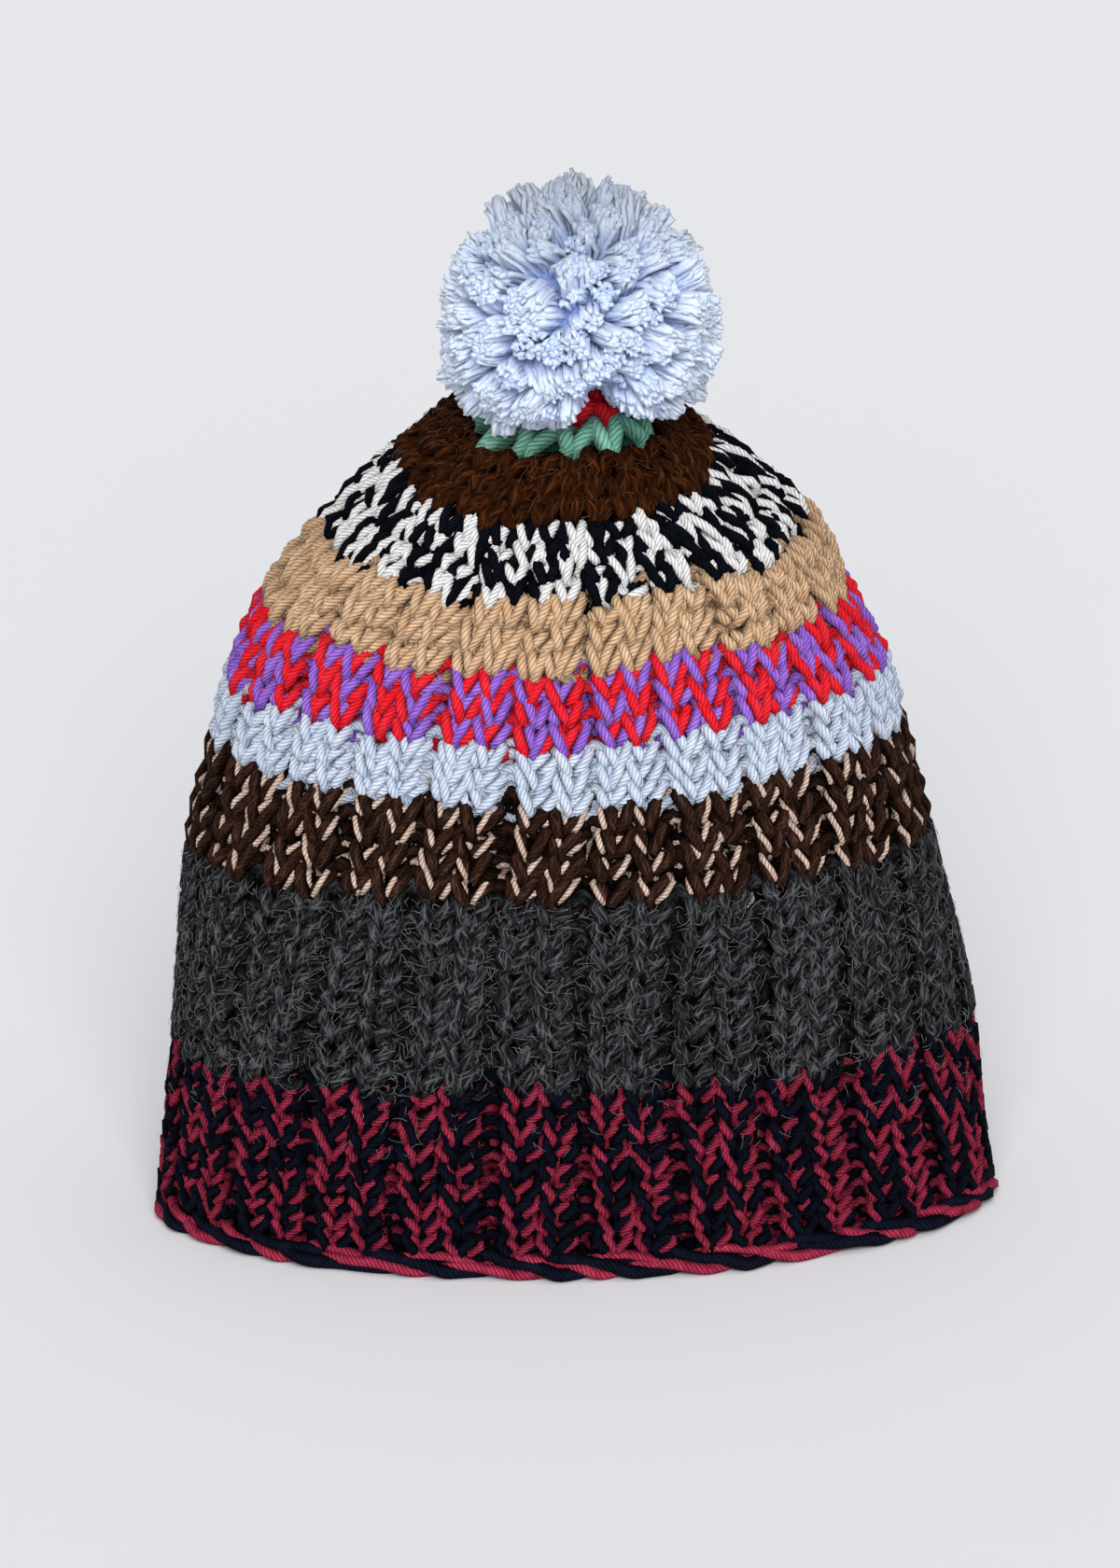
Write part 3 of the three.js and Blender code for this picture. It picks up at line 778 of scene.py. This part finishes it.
def make_cast_on_edge():
    """The cast-on: three pairs of strands that change places slowly along the hem, so that each
    shows as a long, almost level stretch, kept uneven by waves of three lengths."""
    share = np.arange(EDGE_POINTS) / EDGE_POINTS
    parts = []
    for yarn, radius, start, inwards, rise in EDGE_STRANDS:
        slow = 0.9 * np.sin(2 * math.pi * 5 * share + inwards)
        quick = 0.7 * np.sin(2 * math.pi * 13 * share + rise)
        angle = 2 * math.pi * (EDGE_LAPS * share + start) + (slow + quick)
        sway = 0.35 * np.sin(2 * math.pi * 23 * share + 5 * start)
        inside = (EDGE_MIDDLE[0] + inwards + EDGE_SWING[0] * np.cos(angle) + sway) * MM
        up = (EDGE_MIDDLE[1] + rise + EDGE_SWING[1] * np.sin(angle) + sway) * MM
        centre, outward = on_fabric(share, up, inside)
        centre[:, 2] = np.maximum(centre[:, 2], radius * MM)
        rope = sweep(centre[None], outward[None], radius * MM, EDGE_SIDES, True)
        depth = np.repeat(inside / MM - EDGE_OPENNESS, EDGE_SIDES)
        parts.append((rope, int(yarn == "burgundy"), depth))
    piece = joined_mesh("cast_on_edge_rope", parts, [YARNS["navy"], YARNS["burgundy"]])
    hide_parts("cast_on_edge")


make_cast_on_edge()
for index, stripe in enumerate(STRIPES):
    if stripe["rows"]:
        make_stripe(index, stripe)


# Loose hairs

# Ranges in millimetres: a hair's length, how far its middle lifts, and how deep its ends lie
HAIR_LENGTHS = (1.5, 5.0)
HAIR_LIFTS = (0.1, 0.9)
HAIR_DEPTHS = (0.4, 2.2)
# How much hairs curl in radians, and the points along each and sides round it
HAIR_CURL = 0.3
HAIR_POINTS = 4
HAIR_SIDES = 3
# Three times a wool fibre's, so that it isn't lost between pixels
HAIR_RADIUS = 0.05 * MM
# Each group: piece, slot, hair, how many, its stripe, and from which share of the stripe upwards
HAIR_GROUPS = [
    ("charcoal_hairs", "charcoal_wool", "charcoal", 4800, "charcoal_band", 0),
    ("brown_hairs", "brown_wool", "brown", 700, "brown_band", 0),
    ("brim_stray_hairs", "charcoal_wool", "charcoal", 260, "brim_band", 0.6),
]


def loose_hairs(name, slot, material, count, low, high):
    """Stray fibres that stand a little off brushed yarn, lying every way over the fabric."""
    up = RNG.uniform(low, high, count)
    share = RNG.uniform(0, 1, count)
    heading = RNG.uniform(0, 2 * math.pi, count)
    length = RNG.uniform(*HAIR_LENGTHS, count) * MM
    curl = RNG.normal(0, HAIR_CURL, count)
    step = np.linspace(-0.5, 0.5, HAIR_POINTS)[None, :]
    angle = heading[:, None] + curl[:, None] * step * 2
    along = length[:, None] * step
    lift = RNG.uniform(*HAIR_LIFTS, (count, 1)) * MM * (1 - (2 * step) ** 2)
    inside = RNG.uniform(*HAIR_DEPTHS, (count, 1)) * MM - lift
    share = share[:, None] + along * np.cos(angle) / girth(up)[:, None]
    up = up[:, None] + along * np.sin(angle)
    centres, outward = on_fabric(share, up, inside)
    hairs = sweep(centres, outward, HAIR_RADIUS, HAIR_SIDES, False)
    piece = joined_mesh(name, [(hairs, 0, 0)], [material])


def hair(name, colour):
    """Single wool fibres, matt and lighter than the yarn that they come from, which blurs it."""
    material = bpy.data.materials.new(name)
    material.use_nodes = True
    tree = material.node_tree
    shader = tree.nodes["Principled BSDF"]
    place = add(tree, "ShaderNodeTexCoord").outputs["Object"]
    noise = add(tree, "ShaderNodeTexNoise", {
        "Vector": place, "Scale": HAIR_PATCHES_PER_METRE, "Detail": 2.0}).outputs[0]
    deep = [part * 0.35 for part in linear(colour)[:3]] + [1]
    mixed = add(tree, "ShaderNodeMixRGB", {"Fac": noise, "Color1": deep, "Color2": linear(colour)})
    tree.links.new(mixed.outputs[0], shader.inputs["Base Color"])
    shader.inputs["Roughness"].default_value = 0.7
    return material


def make_hairs():
    """The hairs of the two brushed wools, and the strays on the brim's upper edge."""
    hairs = {"charcoal": hair("grey_wool_hair", "#989b9d"), "brown": hair("brown_wool_hair", "#8a5c3c")}
    nodes = [stripe["node"] for stripe in STRIPES]
    for name, slot, kind, count, node, start in HAIR_GROUPS:
        number = nodes.index(node)
        low, high = np.interp([number, number + 1], PLACES, UP_FABRIC)
        loose_hairs(name, slot, hairs[kind], count, low + start * (high - low), high)


make_hairs()


# The pompom

pompom_low, pompom_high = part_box("pompom")
# The ball, and how its weight narrows, flattens and lowers it
POMPOM_RADIUS = 36 * MM
POMPOM_NARROWING = 0.95
POMPOM_FLATTENING = 0.95
POMPOM_SETTLING = 7.0 * MM
POMPOM_CENTRE = np.array([(pompom_low[0] + pompom_high[0]) / 2, (pompom_low[1] + pompom_high[1]) / 2,
                          pompom_high[2] - POMPOM_RADIUS - POMPOM_SETTLING])
PLIES = 9600
PLY_SIDES = 3
# A ply at five places from root to tip: how far out it is, how far it has swung from its own
# direction to its clump's, and its radius in millimetres
PLY_STEPS = np.array([0.55, 0.72, 0.86, 0.95, 1.0])
PLY_SWING = np.array([0.0, 0.3, 0.65, 0.9, 1.0])
PLY_RADII = np.array([0.7, 0.85, 0.96, 0.92, 0.6])
# How far a ply reaches as a share of the ball, and how much plies differ in direction, reach and
# thickness, and in millimetres in their bend and at each place. SAG is how far their tips hang.
PLY_REACH = 0.985
PLY_SCATTER = 0.02
PLY_REACH_SPREAD = 0.02
PLY_RADIUS_SPREAD = 0.15
PLY_BEND = 0.7
PLY_JITTER = 0.28
SAG = 1.0 * MM
# Clumps: how strongly they draw their plies in, and how much they differ in direction, reach and,
# in millimetres, in the way that they are tousled
CLUMPS = 260
CLUMP_PULL = 0.38
CLUMP_SCATTER = 0.06
CLUMP_REACH_SPREAD = 0.04
CLUMP_SWIRL = 2.6
# The cut yarn that shows, in millimetres, over which painted shade at the roots gives way to the
# pale ends, and the heights over the ball's middle, as shares of its radius, between which painted
# shade turns it greyer
CUT_LENGTH = 16
TOP_SHADE_FROM = 0.4
TOP_SHADE_TO = 0.95
# The dense heart as a share of the ball, the angles of its two ends from its top, and its detail
HEART_SHARE = 0.68
HEART_LOW_END = 0.6 * math.pi
HEART_TOP_END = 0.12
HEART_RINGS = 11
HEART_SIDES = 24
# The ball's underside as the camera sees it: its level, and the place, width and height of the
# parting in it that shows the green stripe and the red tip
UNDERSIDE = 194 * MM
PARTING = 11 * MM
PARTING_PLACE = 13 * MM
PARTING_WIDTH = 11 * MM
# The row where the crown starts, and how far over it the lowest plies lie
CROWN_START = 5
CROWN_CLEARANCE = 1.0 * MM


def spread_aims(count):
    """Directions spread evenly over a ball."""
    up = 1 - 2 * (np.arange(count) + 0.5) / count
    turn = np.arange(count) * math.pi * (3 - math.sqrt(5))
    flat = np.sqrt(1 - up ** 2)
    return np.stack([flat * np.cos(turn), flat * np.sin(turn), up], -1)


def crown_height(x, y):
    """The height of the crown's outer surface over a place, for what lies on it."""
    places = np.linspace(CROWN_START, LAST, 60)
    half_width, half_depth, height, lean, nod, _ = section(places)
    reach = np.hypot((x[..., None] - lean) / half_width, y[..., None] / half_depth)
    beyond = reach > 1
    first = np.where(beyond.any(-1), beyond.argmax(-1), len(places) - 1)
    return height[first] + y * np.tan(nod[first])


def trimmed(aim, reach):
    """Lengths of yarn shortened where the ball's underside is flat against the crown."""
    front, up = math.sin(CAMERA_ELEVATION), math.cos(CAMERA_ELEVATION)
    centre_level = POMPOM_CENTRE[2] * up + POMPOM_CENTRE[1] * front
    fall = -(aim[:, 2] * up + aim[:, 1] * front)
    side = (POMPOM_CENTRE[0] + aim[:, 0] * reach - PARTING_PLACE) / PARTING_WIDTH
    limit = centre_level - UNDERSIDE - PARTING * np.exp(-side ** 4)
    return np.where(fall * reach > limit, limit / np.maximum(fall, 0.01), reach)


def lift_off_crown(points):
    """Points of the plies raised to lie on the crown where they would run into it."""
    floor = crown_height(points[..., 0], points[..., 1]) + CROWN_CLEARANCE
    points[..., 2] = np.maximum(points[..., 2], floor)
    return points


def heart_rings():
    """The ball's dense middle, as one fat closed tube along its upright axis, flat below."""
    heights = np.cos(np.linspace(HEART_LOW_END, HEART_TOP_END, HEART_RINGS))
    centres = POMPOM_CENTRE + np.outer(heights * POMPOM_RADIUS * HEART_SHARE, [0, 0, 1])
    outward = np.tile([1.0, 0, 0], (1, len(heights), 1))
    return centres[None], outward, np.sqrt(1 - heights ** 2) * POMPOM_RADIUS * HEART_SHARE


def make_pompom():
    """Cut yarn from a tied core, untwisted into fine plies that lie together in tousled clumps."""
    clump_aims = unit(spread_aims(CLUMPS) + CLUMP_SCATTER * RNG.standard_normal((CLUMPS, 3)))
    clump_reach = 1 + CLUMP_REACH_SPREAD * RNG.standard_normal(CLUMPS)
    clump_swirl = RNG.standard_normal((CLUMPS, 3)) * CLUMP_SWIRL * MM
    root_aim = unit(spread_aims(PLIES) + PLY_SCATTER * RNG.standard_normal((PLIES, 3)))
    clump = np.argmax(root_aim @ clump_aims.T, 1)
    aim = unit(root_aim + CLUMP_PULL * (clump_aims[clump] - root_aim))
    uneven = 1 + PLY_REACH_SPREAD * RNG.standard_normal(PLIES)
    reach = trimmed(aim, POMPOM_RADIUS * PLY_REACH * clump_reach[clump] * uneven)
    swing = PLY_SWING[:, None]
    heading = root_aim[:, None] * (1 - swing) + aim[:, None] * swing
    bend = clump_swirl[clump] + PLY_BEND * MM * RNG.standard_normal((PLIES, 3))
    bend[:, 2] -= SAG
    centres = unit(heading + bend[:, None] * swing ** 2 / POMPOM_RADIUS)
    squeeze = [POMPOM_NARROWING, POMPOM_NARROWING, POMPOM_FLATTENING]
    centres = centres * (reach[:, None] * PLY_STEPS)[..., None] * squeeze
    centres[:, 1:] += PLY_JITTER * MM * RNG.standard_normal((PLIES, len(PLY_STEPS) - 1, 3))
    centres = lift_off_crown(centres + POMPOM_CENTRE)
    radius = PLY_RADII * MM * (1 + PLY_RADIUS_SPREAD * RNG.standard_normal((PLIES, 1)))
    outward = unit(np.cross(aim, RNG.standard_normal(aim.shape)))[:, None]
    outward = outward * np.ones((1, len(PLY_STEPS), 1))
    yarn = pompom_yarn("cut_sky_blue_yarn", CUT_LENGTH, POMPOM_CENTRE[2] + TOP_SHADE_FROM * POMPOM_RADIUS,
                       POMPOM_CENTRE[2] + TOP_SHADE_TO * POMPOM_RADIUS)
    # Painted shade: the heart a deeper blue than the cut ends, as the yarn looks in the shade
    heart_yarn = dense_inside("pompom_upper_plies_heart", "#97b6f2")
    heart = (sweep(*heart_rings(), HEART_SIDES, False), 1, 0)
    half = PLIES // 2
    for name, chosen, more, materials in (
            ("pompom_lower_plies", slice(half, None), [], [yarn]),
            ("pompom_upper_plies", slice(0, half), [heart], [yarn, heart_yarn])):
        plies = sweep(centres[chosen], outward[chosen], radius[chosen], PLY_SIDES, False)
        piece = joined_mesh(name, [(plies, 0, 0)] + more, materials)
        if more:
            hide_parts("pompom")


make_pompom()


# Studio

# The backdrop in metres, from its front edge to where it bends upwards, with the bend's radius
BACKDROP_HALF_WIDTH = 12.0
BACKDROP_FRONT = -8.0
BACKDROP_BACK = 8.0
BACKDROP_BEND = 2.0
BACKDROP_TOP = 4.0
BEND_STEPS = 16
# The lamps: elevation, azimuth and width in degrees, and strength
LAMPS = {"key": (31, 1, 30, 2.75), "top": (75, 60, 50, 0.25)}
SURROUNDING_LIGHT = 0.34


def backdrop_paper():
    """Smooth matt paper, even and pale, so that nothing in it draws the eye."""
    material = bpy.data.materials.new("matt_backdrop_paper")
    material.use_nodes = True
    shader = material.node_tree.nodes["Principled BSDF"]
    shader.inputs["Base Color"].default_value = linear("#f0f1f5")
    shader.inputs["Roughness"].default_value = 1.0
    shader.inputs["Specular IOR Level"].default_value = 0.0
    return material


def make_backdrop():
    """A pale floor that sweeps up behind the hat: a profile drawn out sideways."""
    profile = [(BACKDROP_FRONT, 0.0), (BACKDROP_BACK, 0.0)]
    for step in range(1, BEND_STEPS + 1):
        angle = math.pi / 2 * step / BEND_STEPS
        profile.append((BACKDROP_BACK + BACKDROP_BEND * math.sin(angle),
                        BACKDROP_BEND * (1 - math.cos(angle))))
    profile.append((BACKDROP_BACK + BACKDROP_BEND, BACKDROP_TOP))
    shape = bmesh.new()
    points = [shape.verts.new((-BACKDROP_HALF_WIDTH, y, z)) for y, z in profile]
    edges = [shape.edges.new(pair) for pair in zip(points, points[1:])]
    drawn = bmesh.ops.extrude_edge_only(shape, edges=edges)["geom"]
    far_side = [item for item in drawn if isinstance(item, bmesh.types.BMVert)]
    bmesh.ops.translate(shape, verts=far_side, vec=(2 * BACKDROP_HALF_WIDTH, 0, 0))
    for face in shape.faces:
        face.smooth = True
    mesh = bpy.data.meshes.new("backdrop")
    shape.to_mesh(mesh)
    shape.free()
    mesh.materials.append(backdrop_paper())
    backdrop = bpy.data.objects.new("backdrop", mesh)
    bpy.context.scene.collection.objects.link(backdrop)


def soft_sun(name, elevation, azimuth, softness, strength):
    """A large far lamp, in degrees. azimuth goes from straight in front towards the right."""
    data = bpy.data.lights.new(name, "SUN")
    data.angle = math.radians(softness)
    data.energy = strength
    light = bpy.data.objects.new(name, data)
    bpy.context.scene.collection.objects.link(light)
    light.rotation_euler = (math.pi / 2 - math.radians(elevation), 0, math.radians(azimuth))


def make_studio():
    """A backdrop, a wide key lamp from the front, a weak one from above, and even light all round."""
    make_backdrop()
    for name, settings in LAMPS.items():
        soft_sun(name, *settings)
    world = bpy.data.worlds.new("studio")
    bpy.context.scene.world = world
    world.use_nodes = True
    background = world.node_tree.nodes["Background"]
    background.inputs["Color"].default_value = (1, 1, 1, 1)
    background.inputs["Strength"].default_value = SURROUNDING_LIGHT
    bpy.context.scene.view_settings.view_transform = "Standard"


make_studio()
